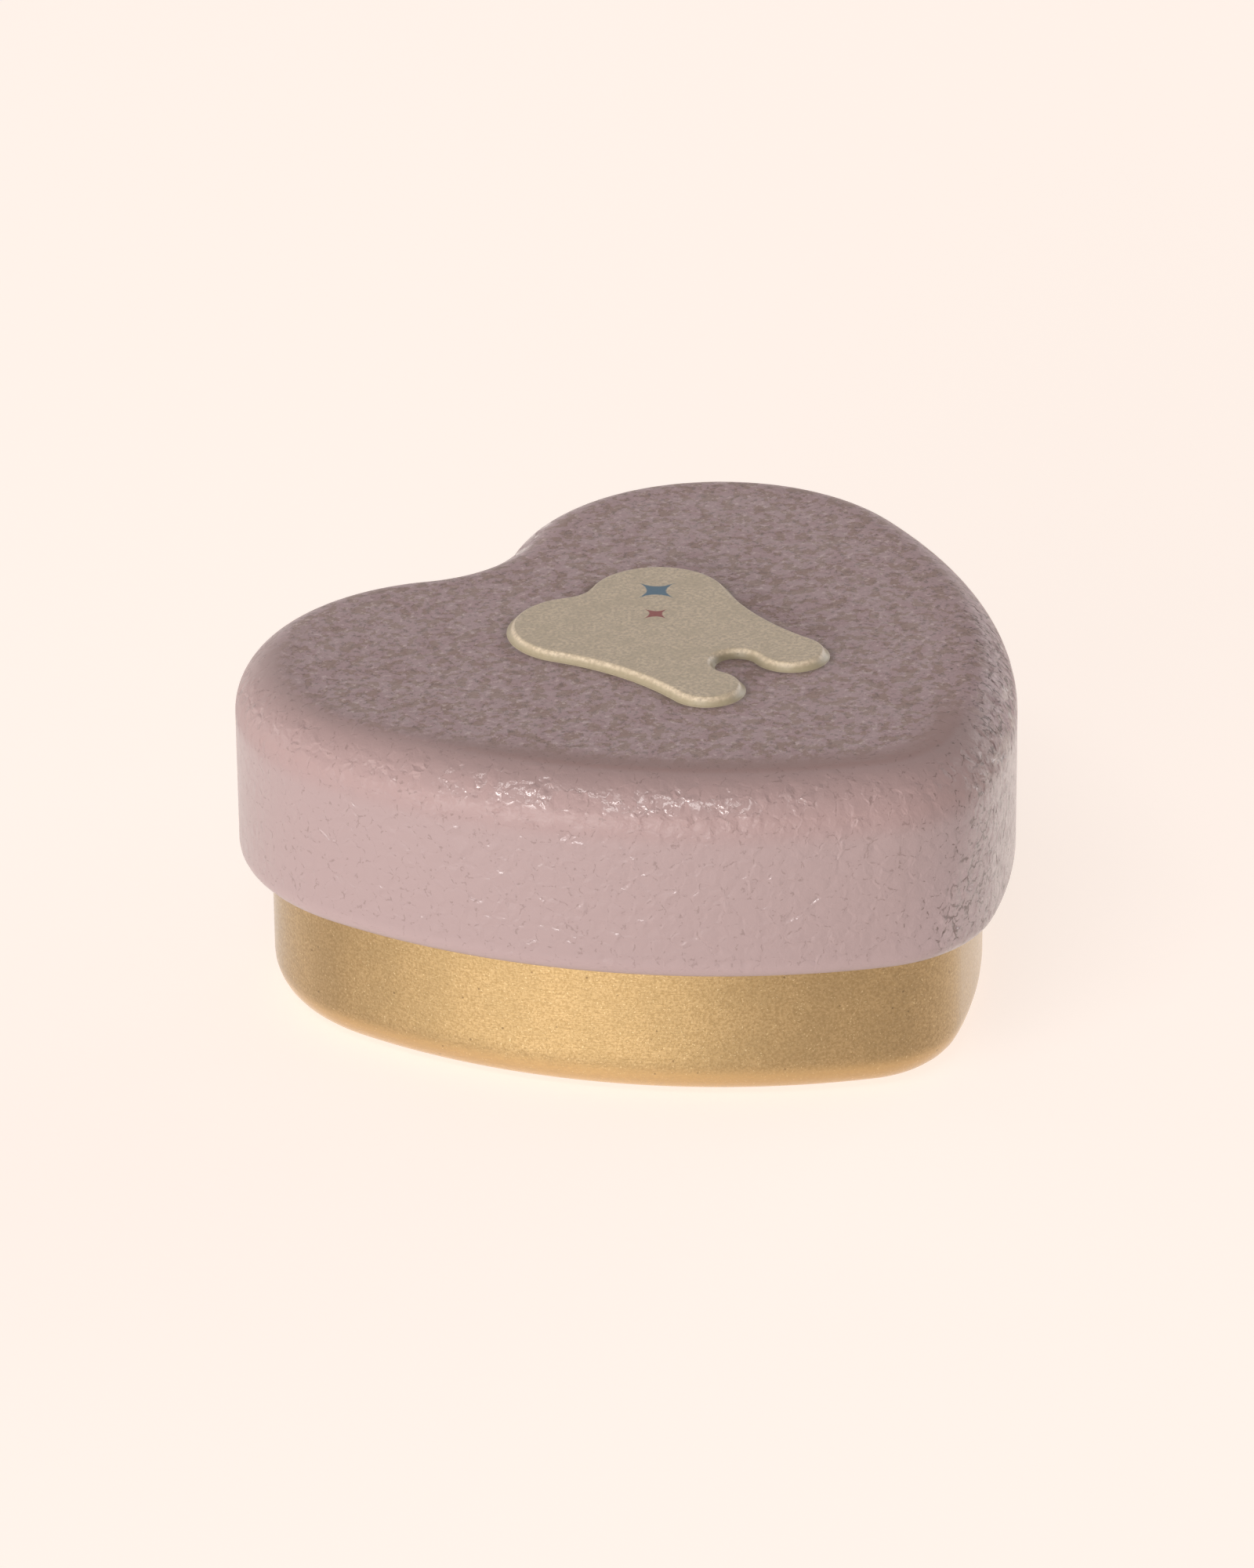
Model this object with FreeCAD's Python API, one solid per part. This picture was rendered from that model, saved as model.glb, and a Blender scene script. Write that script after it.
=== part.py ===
# Heart-shaped keepsake tin for milk teeth: a pressed base, a slip-over lid and a raised tooth badge on the lid.
# Millimetres, +Z up. The origin is under the middle of the lid's outline, on the surface that the base stands on.
# The tip of the heart points to -Y and the cleft between its lobes to +Y.
import FreeCAD
import Part
import math
import os

# Plan of the tin, measured on the outside of the lid's wall: a heart of arcs that run into each other
lid_width = 60.0  # across the two lobes
lobe_radius = 16.8
cleft_radius = 8.4  # the hollow between the lobes
tip_radius = 10.9
tip_drop = 27.7  # from the lobes' centres to the centre of the tip's arc
side_radius = 50.5  # the slightly bulging flanks

# Both halves are pressed from one thickness of tinplate, with their free edges rolled inwards
sheet = 0.3
roll_turn = 270.0  # degrees that a free edge is rolled through

# Lid
lid_height = 15.3
lid_edge_radius = 4.0  # outside, from the top to the wall
hem_diameter = 2.1  # the roll along the lid's lower edge

# Base
base_exposed = 11.1  # the height of base that shows under the lid
base_edge_radius = 3.0  # outside, from the wall to the underside
rim_diameter = 1.6  # the roll along the base's upper edge
standing_width = 1.6  # the flat ring that the tin stands on
panel_rise = 0.6  # how far the panel inside that ring is pressed up
panel_turn = 60.0  # degrees that the sheet turns on its way up to that panel

# Fits
slip_clearance = 0.3  # all round, between the lid's hem and the base wall
seat_clearance = 0.1  # between the base's rim and the lid resting on it

# Tooth badge: two cusps towards the cleft, a waist and two roots towards the tip
tooth_width = 17.6
tooth_length = 21.0
cusp_radius = 4.9
groove_radius = 3.2  # the dip between the cusps
waist_radius = 21.0  # the hollow flanks
root_radius = 2.2
root_spacing = 8.6  # between the centres of the root ends
fork_rise = 1.3  # from the centres of the root ends up to the centre of the hollow between the roots
tooth_forward_share = 0.04  # of the lid's length, how far the badge sits towards the cleft
tooth_height = 0.6
tooth_slope = 50.0  # degrees from the lid's top to the badge's sloping side
tooth_shoulder_radius = 0.4

half_turn = 180.0
quarter_turn = half_turn / 2


def meet(a, a_distance, b, b_distance, side):
    """The point at the given distances from a and b, on the left of the line from a to b if side is 1."""
    along = FreeCAD.Vector(b[0] - a[0], b[1] - a[1], 0)
    gap = along.Length
    along.normalize()
    reach = (a_distance**2 - b_distance**2 + gap**2) / (2 * gap)
    off = side * math.sqrt(a_distance**2 - reach**2)
    return a[0] + reach * along.x - off * along.y, a[1] + reach * along.y + off * along.x


def bearing(a, b):
    """Degrees from +X of the direction from a to b."""
    return math.degrees(math.atan2(b[1] - a[1], b[0] - a[0]))


def arc(centre, radius, start, end, bulge):
    """One arc of an outline, anticlockwise; bulge is 1 where the outline bulges and -1 where it is hollow."""
    while end < start:
        end += 2 * half_turn
    return {"centre": centre, "radius": radius, "start": start, "end": end, "bulge": bulge}


def mirrored(piece):
    """The same arc on the other side of the YZ plane."""
    x, y = piece["centre"]
    return arc((-x, y), piece["radius"], half_turn - piece["end"], half_turn - piece["start"], piece["bulge"])


def under_axis(centre, radius, edge, bulge):
    """An arc round a centre on the Y axis, below it, from the mirrored end to its end at the bearing edge."""
    return arc(centre, radius, -half_turn - edge, edge, bulge)


def over_axis(centre, radius, edge, bulge):
    """An arc round a centre on the Y axis, above it, from its end at the bearing edge to the mirrored end."""
    return arc(centre, radius, edge, half_turn - edge, bulge)


def heart():
    """The outline of the lid's wall, with its middle on the origin."""
    top_to_tip = lobe_radius + tip_drop + tip_radius
    lobe = (lid_width / 2 - lobe_radius, top_to_tip / 2 - lobe_radius)
    tip = (0, lobe[1] - tip_drop)
    cleft = (0, lobe[1] + math.sqrt((cleft_radius + lobe_radius) ** 2 - lobe[0] ** 2))
    side = meet(tip, side_radius - tip_radius, lobe, side_radius - lobe_radius, 1)
    right = [
        arc(side, side_radius, bearing(side, tip), bearing(side, lobe), 1),
        arc(lobe, lobe_radius, bearing(side, lobe), bearing(lobe, cleft), 1),
    ]
    ends = [
        under_axis(tip, tip_radius, bearing(side, tip), 1),
        under_axis(cleft, cleft_radius, bearing(cleft, lobe), -1),
    ]
    return ends + right + [mirrored(piece) for piece in right]


def tooth():
    """The outline of the badge at its top, with the crown towards +Y."""
    middle = tooth_forward_share * (lobe_radius + tip_drop + tip_radius)
    crown = (tooth_width / 2 - cusp_radius, middle + tooth_length / 2 - cusp_radius)
    root = (root_spacing / 2, middle - tooth_length / 2 + root_radius)
    groove = (0, crown[1] + math.sqrt((groove_radius + cusp_radius) ** 2 - crown[0] ** 2))
    fork = (0, root[1] + fork_rise)
    fork_radius = math.hypot(root[0], fork_rise) - root_radius
    waist = meet(crown, waist_radius + cusp_radius, root, waist_radius + root_radius, 1)
    right = [
        arc(crown, cusp_radius, bearing(crown, waist), bearing(crown, groove), 1),
        arc(waist, waist_radius, bearing(waist, crown), bearing(waist, root), -1),
        arc(root, root_radius, bearing(root, fork), bearing(root, waist), 1),
    ]
    ends = [
        under_axis(groove, groove_radius, bearing(groove, crown), -1),
        over_axis(fork, fork_radius, bearing(fork, root), -1),
    ]
    return ends + right + [mirrored(piece) for piece in right]


def section_point(piece, turn, out, height):
    """The point at a bearing on an outline's arc, moved out from the outline and up."""
    reach = piece["radius"] + piece["bulge"] * out
    x = piece["centre"][0] + reach * math.cos(math.radians(turn))
    y = piece["centre"][1] + reach * math.sin(math.radians(turn))
    return FreeCAD.Vector(x, y, height)


def flat_face(outline, out, height):
    """The level face inside an outline that has been moved out."""
    edges = []
    for piece in outline:
        turns = [piece["start"], (piece["start"] + piece["end"]) / 2, piece["end"]]
        edges.append(Part.Arc(*[section_point(piece, turn, out, height) for turn in turns]).toShape())
    return Part.Face(Part.Wire(Part.__sortEdges__(edges)))


def carried(section, outline):
    """The faces swept by a section's lines and arcs, each given by its (out, height) points, along an outline."""
    faces = []
    for piece in outline:
        foot = FreeCAD.Vector(piece["centre"][0], piece["centre"][1], 0)
        for points in section:
            placed = [section_point(piece, piece["start"], out, height) for out, height in points]
            curve = Part.Arc(*placed) if len(placed) > 2 else Part.LineSegment(*placed)
            sweep = piece["end"] - piece["start"]
            faces += curve.toShape().revolve(foot, FreeCAD.Vector(0, 0, 1), sweep).Faces
    return faces


def closed_solid(faces):
    """The solid inside faces that meet edge to edge."""
    shell = Part.makeShell(faces)
    shell.sewShape()
    solid = Part.makeSolid(shell)
    if solid.Volume < 0:
        solid.reverse()
    return solid


def skin(start, moves, side):
    """One face of a bent sheet, as lines and arcs of (out, height) points.

    The middle of the sheet starts level and outwards from start. A move is a straight length, or the radius and the
    degrees of a bend, which is upwards or inwards if they are positive. side is 1 for the face on the left.
    """
    out, height = start
    heading = 0
    lines = []
    for length, bend in moves:
        left = (-math.sin(heading), math.cos(heading))
        first = (out + side * sheet / 2 * left[0], height + side * sheet / 2 * left[1])
        if not bend:
            out += length * math.cos(heading)
            height += length * math.sin(heading)
            lines.append([first, (out + side * sheet / 2 * left[0], height + side * sheet / 2 * left[1])])
            continue
        way = math.copysign(1, bend)
        centre = (out + way * length * left[0], height + way * length * left[1])
        points = [first]
        for turned in (heading + math.radians(bend) / 2, heading + math.radians(bend)):
            reach = side * sheet / 2 - way * length
            points.append((centre[0] - reach * math.sin(turned), centre[1] + reach * math.cos(turned)))
        lines.append(points)
        heading += math.radians(bend)
        out = centre[0] + way * length * math.sin(heading)
        height = centre[1] - way * length * math.cos(heading)
    return lines


def pressing(start, moves, outline):
    """A pressed shell: a flat panel up to start, and from there a sheet bent through the moves."""
    left = skin(start, moves, 1)
    right = skin(start, moves, -1)
    cut_edge = [left[-1][-1], right[-1][-1]]
    faces = carried(left + right + [cut_edge], outline)
    faces.append(flat_face(outline, start[0], start[1] + sheet / 2))
    faces.append(flat_face(outline, start[0], start[1] - sheet / 2))
    return closed_solid(faces)


outline = heart()
lid_top = base_exposed + lid_height
base_wall = -(hem_diameter + slip_clearance)

# Lid: panel, rounded edge, wall and hem
lid_start = (-lid_edge_radius, lid_top - sheet / 2)
lid_moves = [
    (lid_edge_radius - sheet / 2, -quarter_turn),
    (lid_height - lid_edge_radius - hem_diameter / 2, 0),
    (hem_diameter / 2 - sheet / 2, -roll_turn),
]
lid_shell = pressing(lid_start, lid_moves, outline)

# The base's rim comes up to the inside of the lid, which is rounded over it or, further in, flat
rim_inset = max(0, lid_edge_radius + base_wall - rim_diameter / 2)
rim_reach = lid_edge_radius - sheet - seat_clearance - rim_diameter / 2
rim_rise = math.sqrt(rim_reach**2 - rim_inset**2) if rim_inset else rim_reach
base_height = lid_top - lid_edge_radius + rim_rise + rim_diameter / 2

# Base: raised panel, standing ring, rounded edge, wall and rim
panel_bend = panel_rise / 2 / (1 - math.cos(math.radians(panel_turn)))
panel_run = 2 * panel_bend * math.sin(math.radians(panel_turn))
base_start = (base_wall - base_edge_radius - standing_width - panel_run, panel_rise + sheet / 2)
base_moves = [
    (panel_bend, -panel_turn),
    (panel_bend, panel_turn),
    (standing_width, 0),
    (base_edge_radius - sheet / 2, quarter_turn),
    (base_height - base_edge_radius - rim_diameter / 2, 0),
    (rim_diameter / 2 - sheet / 2, roll_turn),
]
base_shell = pressing(base_start, base_moves, outline)

# Badge: flat top, rounded shoulder and sloping side, standing on the lid
slope = math.radians(tooth_slope)
shoulder_run = tooth_shoulder_radius * math.sin(slope)
shoulder_drop = tooth_shoulder_radius * (1 - math.cos(slope))
mid_run = tooth_shoulder_radius * math.sin(slope / 2)
mid_drop = tooth_shoulder_radius * (1 - math.cos(slope / 2))
foot_run = shoulder_run + (tooth_height - shoulder_drop) / math.tan(slope)
tooth_top = lid_top + tooth_height
shoulder_end = (shoulder_run, tooth_top - shoulder_drop)
tooth_section = [
    [(0, tooth_top), (mid_run, tooth_top - mid_drop), shoulder_end],
    [shoulder_end, (foot_run, lid_top)],
]
tooth_faces = carried(tooth_section, tooth())
tooth_faces.append(flat_face(tooth(), 0, tooth_top))
tooth_faces.append(flat_face(tooth(), foot_run, lid_top))
tooth_emblem = closed_solid(tooth_faces)

os.makedirs("parts", exist_ok=True)
base_shell.exportStep("parts/base_shell.step")
lid_shell.exportStep("parts/lid_shell.step")
tooth_emblem.exportStep("parts/tooth_emblem.step")
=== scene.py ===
"""Looks of the heart-shaped keepsake tin: a gold base, a crackle-lacquered lid and an enamelled tooth badge.

Metres, in the frame of the solids: +Z up, the tip of the heart towards -Y and the cleft towards +Y.
"""

import math
from types import SimpleNamespace

import bpy
import numpy as np
from mathutils import Matrix, Vector


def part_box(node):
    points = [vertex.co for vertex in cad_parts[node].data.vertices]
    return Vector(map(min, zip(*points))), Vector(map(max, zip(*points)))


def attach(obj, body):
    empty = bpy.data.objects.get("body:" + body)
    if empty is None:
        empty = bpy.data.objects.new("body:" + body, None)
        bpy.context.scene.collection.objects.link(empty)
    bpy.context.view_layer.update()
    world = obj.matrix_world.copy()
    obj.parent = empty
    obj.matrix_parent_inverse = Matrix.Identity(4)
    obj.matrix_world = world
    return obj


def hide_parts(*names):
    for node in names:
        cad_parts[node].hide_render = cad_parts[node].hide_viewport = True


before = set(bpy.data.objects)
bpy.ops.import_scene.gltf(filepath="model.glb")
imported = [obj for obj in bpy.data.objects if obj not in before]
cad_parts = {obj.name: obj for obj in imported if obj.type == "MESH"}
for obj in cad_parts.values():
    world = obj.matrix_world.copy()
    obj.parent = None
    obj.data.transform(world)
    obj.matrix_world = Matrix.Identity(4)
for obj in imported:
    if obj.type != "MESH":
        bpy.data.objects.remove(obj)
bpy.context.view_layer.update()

MM = 0.001
QUARTER_TURN = math.radians(90)


def mm(*sizes):
    """Sizes in millimetres, as metres."""
    return tuple(size * MM for size in sizes)


# Plan of the tin on the outside of the lid's wall, with the overall sizes read from the solids
lid_low, lid_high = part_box("lid_shell")
base_low, base_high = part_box("base_shell")
badge_low, badge_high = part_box("tooth_emblem")
LID_WIDTH = lid_high.x - lid_low.x
LID_LENGTH = lid_high.y - lid_low.y
LID_TOP = lid_high.z
LID_RIM = lid_low.z
LOBE_RADIUS = 16.8 * MM
CLEFT_RADIUS = 8.4 * MM
TIP_RADIUS = 10.9 * MM
SIDE_RADIUS = 50.5 * MM

# Pressed sheet
SHEET = 0.3 * MM
LID_EDGE_RADIUS = 4.0 * MM
HEM_DIAMETER = 2.1 * MM
BASE_INSET = (LID_WIDTH - base_high.x + base_low.x) / 2
BASE_EDGE_RADIUS = 3.0 * MM
RIM_DIAMETER = 1.6 * MM
STANDING_WIDTH = 1.6 * MM
PANEL_RISE = 0.6 * MM
PANEL_TURN = math.radians(60)
ROLL_TURN = math.radians(270)

# Tooth badge, with its outline measured at its flat top
BADGE_HEIGHT = badge_high.z - badge_low.z
BADGE_SLOPE = math.radians(50)
BADGE_SHOULDER = 0.4 * MM
BADGE_SPREAD = BADGE_SHOULDER * math.sin(BADGE_SLOPE) + (
    BADGE_HEIGHT - BADGE_SHOULDER * (1 - math.cos(BADGE_SLOPE))
) / math.tan(BADGE_SLOPE)
BADGE_EDGE_RUN = 0.72 * MM
BADGE_EDGE_SHARE = 0.92  # how much of the edge's half wave shows above the lid
BADGE_LEVEL_WIDTH = 1.6 * MM  # the band of the flat top that is divided into rings
BADGE_SINK = 0.05 * MM  # how far the foot goes into the lid
CUSP_RADIUS = 4.9 * MM
GROOVE_RADIUS = 3.2 * MM
WAIST_RADIUS = 21.0 * MM
ROOT_RADIUS = 2.2 * MM
ROOT_SPACING = 8.6 * MM
FORK_RISE = 1.3 * MM

# How finely the surfaces are divided
HEART_COUNT = 540
TOOTH_COUNT = 520
LID_STEP = 0.3 * MM
INNER_STEP = 0.9 * MM
BASE_STEP = 0.6 * MM
LEAST_PER_QUARTER = 5
LID_TOP_HUB, LID_TOP_RINGS = 0.02, 61
PANEL_HUB, LID_UNDER_RINGS, PANEL_RINGS = 0.04, 13, 19
HEM_TAIL_RINGS = 6  # the last of the hem's roll, gold as the inside is
BADGE_EDGE_RINGS = 16
BADGE_LEVEL_RINGS = 6
DISTANCE_BLOCKS = 40

# Darker band on the lid round the badge: its distance from the badge's flat top, its width and its share
CREASE_OUT = 0.75 * MM
CREASE_WIDTH = 0.28 * MM
CREASE_SHARE = 0.55

# Lacquer patterns: sizes of their features, and a drift as its size and its amount
FLAKE_SIZE = 1.2 * MM
FLAKE_DRIFT = mm(0.7, 0.6)
FLAKE_TILT = 0.42
FLAKE_GLOSS = (0.34, 0.40)
SMALL_FLAKE_SIZE = 0.65 * MM
BREAK_SIZE = 2.4 * MM
TEAR_SIZE = 1.15 * MM
TEAR_LEVEL = 0.455
CRAZE_SIZE = 1.7 * MM
CRAZE_DRIFT = mm(1.2, 1.5)
CRAZE_GAP_SIZE = 0.9 * MM
DASH_SIZE = 0.45 * MM
FLECK_SIZE = 0.5 * MM
LACQUER_GRAIN_SIZE = 0.25 * MM

# Lacquer relief: heights of its features
FLAKE_RISE = 0.024 * MM
SMALL_FLAKE_RISE = 0.016 * MM
LACQUER_GRAIN_RISE = 0.014 * MM
SKIN_RISE = 0.018 * MM
CRAZE_DEPTH = 0.030 * MM

# Lacquer zones: each comes in between two depths under the top, or two distances along a direction
FLANK_WAY = (0.72, -0.69, -0.23)
FRONT_WAY = (-0.85, -0.53, 0.0)
ROUNDING_DEPTHS = mm(5.0, 2.5)
BEHIND_FRONT = mm(9.0, 1.0)
LEVEL_DEPTHS = mm(0.12, 0.01)
SKIN_INSETS = mm(0.1, 2.4)
SKIN_REACH = 1.3 * MM  # how much nearer the edge the skin comes at the left end
SKIN_REACH_ACROSS = mm(-16.0, -30.0)
RIM_SHADE_DEPTHS = mm(0.16, 0.01)
RIM_SHADE_ACROSS = mm(-30.0, -14.0)
FLANK_ACROSS = mm(13.5, 16.0)
AGED_FRONT = mm(0.0, -14.0)
AGED_DEPTHS = mm(1.5, 4.0)
PALE_ACROSS = mm(10.0, 18.5)
PALE_DEPTHS = mm(2.0, 5.0)
BRINK_DEPTHS = mm(0.05, 0.40)
BRINK_FADE_DEPTHS = mm(2.4, 0.8)
CRACK_DARK_ACROSS = mm(8.5, 15.5)
HEM_RISES = mm(0.6, 1.8)  # above the rim
THICK_DEPTHS = mm(4.8, 2.0)
THICK_FADE_DEPTHS = mm(0.2, 1.1)
SOFT_DEPTHS = mm(2.5, 5.0)
RUBBED_DEPTHS = mm(2.6, 1.9)
RUBBED_FADE_DEPTHS = mm(0.2, 0.6)
RUBBED_RIGHT = mm(6.0, -7.0)
RUBBED_LEFT = mm(-30.0, -20.0)
COAT_DEPTHS = mm(3.4, 4.8)
FLANK_COAT_DEPTHS = mm(1.4, 4.0)
FLANK_COAT_UNEVEN = 9.0 * MM

# Lacquer colours
WALL_PINK = (0.436, 0.316, 0.312, 1)
ROUNDING_PINK_SHADED = (0.452, 0.310, 0.299, 1)
HEM_PINK_AND_FLOOR_LIGHT = (0.496, 0.362, 0.360, 1)
RIM_PAINTED_SHADE = (0.412, 0.256, 0.238, 1)
MAUVE_SKIN_AND_SHEEN = (0.516, 0.342, 0.356, 1)
BARE_BROWN = (0.412, 0.268, 0.232, 1)
PALE_WEAR_AND_SHEEN = (0.620, 0.468, 0.486, 1)
TEAR_BROWN = (0.220, 0.148, 0.130, 1)
FLECK_LIGHT = (0.790, 0.620, 0.605, 1)
FLECK_DARK = (0.250, 0.170, 0.148, 1)
CRACK_BROWN = (0.150, 0.095, 0.080, 1)
CRAZE_BROWN = (0.150, 0.092, 0.080, 1)
CREASE_BROWN = (0.150, 0.110, 0.085, 1)

# Gold: sizes, heights and colours
GOLD_GRAIN_SIZE, GOLD_GRAIN_RISE = mm(0.20, 0.012)
GOLD_ROLL_SIZE, GOLD_ROLL_RISE = mm(0.10, 0.010)
GOLD_CLOUD_SIZE = 3.0 * MM
GOLD_GLINT_SIZE = 0.15 * MM
GOLD_SPECK_SPACING = 1.4 * MM
GOLD_RUB_SIZE = 0.25 * MM
GRAIN_DARK = (0.374, 0.250, 0.106, 1)
GRAIN_LIGHT = (0.506, 0.354, 0.170, 1)
GOLD_CLOUD = (0.360, 0.250, 0.112, 1)
GOLD_FOOT_REFLECTION = (0.640, 0.430, 0.190, 1)
GOLD_GLINT = (0.980, 0.800, 0.480, 1)
GOLD_SPECK = (0.140, 0.085, 0.035, 1)

# Enamel: sizes, heights and colours, and the painted sparkles: middle, reach and paint of each
CREAM_GRAIN_SIZE, CREAM_GRAIN_RISE = mm(0.30, 0.015)
CREAM_CLOUD_SIZE = 1.4 * MM
CREAM_SPECK_SPACING = 1.2 * MM
CREAM_SHADE_RISES = mm(0.50, 0.20)
SPARKLE_DRIFT = mm(0.3, 0.16)
CREAM_DARK = (0.625, 0.506, 0.360, 1)
CREAM_LIGHT = (0.872, 0.725, 0.533, 1)
CREAM_CLOUD = (0.625, 0.515, 0.360, 1)
CREAM_FOOT_SHADE = (0.420, 0.350, 0.225, 1)
CREAM_SPECK = (0.200, 0.150, 0.100, 1)
SPARKLE_BLUE = (0.075, 0.190, 0.290, 1)
SPARKLE_RED = (0.380, 0.075, 0.065, 1)
SPARKLES = [
    (4.3 * MM, 8.4 * MM, 2.3 * MM, SPARKLE_BLUE),
    (1.4 * MM, 5.4 * MM, 1.5 * MM, SPARKLE_RED),
]

# Camera: degrees, metres, and pixels of a picture of 1600 by 2000
CAMERA_AZIMUTH, CAMERA_ELEVATION, CAMERA_ROLL = -43.38, 26.06, -0.32
CAMERA_DISTANCE = 0.600
FOCAL_PIXELS = 10239.0
BESIDE_PIXELS, BELOW_PIXELS = 84.1, 31.4
PICTURE_HEIGHT = 2000.0
SENSOR = 36.0

# Studio: a floor that sweeps up at its edge, a dim surround, and soft lights
FLOOR_RADIUS = 3.6
SWEEP_RADIUS = 0.45
SWEEP_RINGS = 9
SWEEP_COUNT = 96
BACKDROP = (0.991, 0.879, 0.807, 1)
FLOOR_SEEN = ((0.42, 0.385, 0.36, 1), 0.80)  # paint, and the strength of its glow in the backdrop's colour
FLOOR_LIGHTING = ((0.60, 0.54, 0.50, 1), 0.12)
SURROUND = ((1.0, 0.93, 0.90, 1), 0.19)
LIGHT_DISTANCE = 1.2
SOFTBOXES = [
    # name, azimuth, elevation, size, watts, colour
    ("key", -73, 6, (1.10, 0.26), 12.9, (1.0, 0.985, 0.97)),
    ("upper", -68, 52, (0.72, 0.20), 2.4, (1.0, 0.985, 0.97)),
    ("left", -150, 8, (0.60, 0.40), 2.6, (1.0, 0.97, 0.95)),
    ("right", 80, 12, (1.20, 0.70), 5.8, (1.0, 0.985, 0.98)),
    ("backdrop", 140, 18, (2.00, 0.72), 2.2, (1.0, 0.93, 0.90)),
]


def meet(a, a_distance, b, b_distance):
    """The point at given distances from a and b, left of the line from a to b, by the law of cosines."""
    a, b = np.array(a), np.array(b)
    gap = np.linalg.norm(b - a)
    along = (b - a) / gap
    reach = (a_distance**2 - b_distance**2 + gap**2) / (2 * gap)
    off = math.sqrt(a_distance**2 - reach**2)
    return a + reach * along + off * np.array([-along[1], along[0]])


def arc_loop(circles, count):
    """Points and outward directions, evenly spaced along a closed loop of arcs that run into each other.

    A circle is (x, y, radius, bulge). Neighbours touch on the line through their centres. The loop goes
    anticlockwise round a circle that bulges, bulge 1, and clockwise round a hollow one, bulge -1.
    """
    x, y, radius, bulge = np.array(circles, float).T
    ahead = [np.roll(values, -1) for values in (x, y, radius, bulge)]
    alike = bulge == ahead[3]
    smaller = alike & (radius < ahead[2])
    leave = np.arctan2(ahead[1] - y, ahead[0] - x) + np.where(smaller, math.pi, 0)
    arrive = np.roll(leave + np.where(alike, 0, math.pi), 1)
    turn = ((leave - arrive) * bulge) % (2 * math.pi) * bulge
    length = radius * np.abs(turn)
    end = np.cumsum(length)
    along = np.linspace(0, end[-1], count, endpoint=False)
    on = np.searchsorted(end, along, side="right")
    angle = arrive[on] + turn[on] * (along - end[on] + length[on]) / length[on]
    facing = np.stack([np.cos(angle), np.sin(angle)], axis=1)
    centre = np.stack([x[on], y[on]], axis=1)
    return centre + radius[on, None] * facing, facing * bulge[on, None]


def heart():
    """The lid's wall in plan: arcs about the tip, a flank and a lobe on each side, and the cleft."""
    lobe_x = LID_WIDTH / 2 - LOBE_RADIUS
    lobe_y = LID_LENGTH / 2 - LOBE_RADIUS
    tip_y = TIP_RADIUS - LID_LENGTH / 2
    cleft_y = lobe_y + math.sqrt((CLEFT_RADIUS + LOBE_RADIUS) ** 2 - lobe_x**2)
    flank = meet((0, tip_y), SIDE_RADIUS - TIP_RADIUS, (lobe_x, lobe_y), SIDE_RADIUS - LOBE_RADIUS)
    circles = [
        (0, tip_y, TIP_RADIUS, 1),
        (flank[0], flank[1], SIDE_RADIUS, 1),
        (lobe_x, lobe_y, LOBE_RADIUS, 1),
        (0, cleft_y, CLEFT_RADIUS, -1),
        (-lobe_x, lobe_y, LOBE_RADIUS, 1),
        (-flank[0], flank[1], SIDE_RADIUS, 1),
    ]
    return arc_loop(circles, HEART_COUNT)


def tooth():
    """The badge's flat top in plan: arcs about its fork and groove, and each side's root, waist and cusp."""
    cusp = (badge_high.x - BADGE_SPREAD - CUSP_RADIUS, badge_high.y - BADGE_SPREAD - CUSP_RADIUS)
    root = (ROOT_SPACING / 2, badge_low.y + BADGE_SPREAD + ROOT_RADIUS)
    groove_y = cusp[1] + math.sqrt((GROOVE_RADIUS + CUSP_RADIUS) ** 2 - cusp[0] ** 2)
    fork_radius = math.hypot(root[0], FORK_RISE) - ROOT_RADIUS
    waist = meet(cusp, WAIST_RADIUS + CUSP_RADIUS, root, WAIST_RADIUS + ROOT_RADIUS)
    circles = [
        (0, root[1] + FORK_RISE, fork_radius, -1),
        (root[0], root[1], ROOT_RADIUS, 1),
        (waist[0], waist[1], WAIST_RADIUS, -1),
        (cusp[0], cusp[1], CUSP_RADIUS, 1),
        (0, groove_y, GROOVE_RADIUS, -1),
        (-cusp[0], cusp[1], CUSP_RADIUS, 1),
        (-waist[0], waist[1], WAIST_RADIUS, -1),
        (-root[0], root[1], ROOT_RADIUS, 1),
    ]
    return arc_loop(circles, TOOTH_COUNT)


def bent_sheet(start, moves, step):
    """The middle of a bent sheet in section, and its direction on the left: runs and arcs end to end.

    It sets out level from start = (out, height). A move is (length, 0), or (radius, turn) with a turn to the
    left above 0. Points are about a step apart, and a quarter turn has at least a few.
    """
    point, heading = np.array(start, float), 0.0
    points, lefts = [], []
    for size, turn in moves:
        length = size * abs(turn) if turn else size
        bends = math.ceil(abs(turn) / QUARTER_TURN * LEAST_PER_QUARTER)
        share = np.linspace(0, 1, max(2, math.ceil(length / step), bends) + 1)[:-1]
        angle = heading + turn * share
        left = np.stack([-np.sin(angle), np.cos(angle)], axis=1)
        if turn:
            way = math.copysign(size, turn)
            centre = point + way * left[0]
            points.append(centre - way * left)
            heading += turn
            point = centre - way * np.array([-math.sin(heading), math.cos(heading)])
        else:
            ahead = np.array([math.cos(heading), math.sin(heading)])
            points.append(point + share[:, None] * length * ahead)
            point = point + length * ahead
        lefts.append(left)
    points.append(point[None])
    lefts.append(np.array([[-math.sin(heading), math.cos(heading)]]))
    return np.concatenate(points), np.concatenate(lefts)


def carried(section, outline, facing):
    """Rings in space: each (out, height) of the section moved out from the outline along its facing."""
    flat = outline[None] + section[:, 0, None, None] * facing[None]
    height = np.broadcast_to(section[:, 1, None, None], flat.shape[:2] + (1,))
    return np.concatenate([flat, height], axis=2)


def drawn_in(ring, hub, count):
    """Rings that shrink evenly from a level ring, itself left out, to a hub that is a share of its size."""
    rings = np.repeat(ring[None], count, axis=0)
    rings[:, :, :2] *= np.linspace(1, hub, count + 1)[1:, None, None]
    return rings


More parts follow.
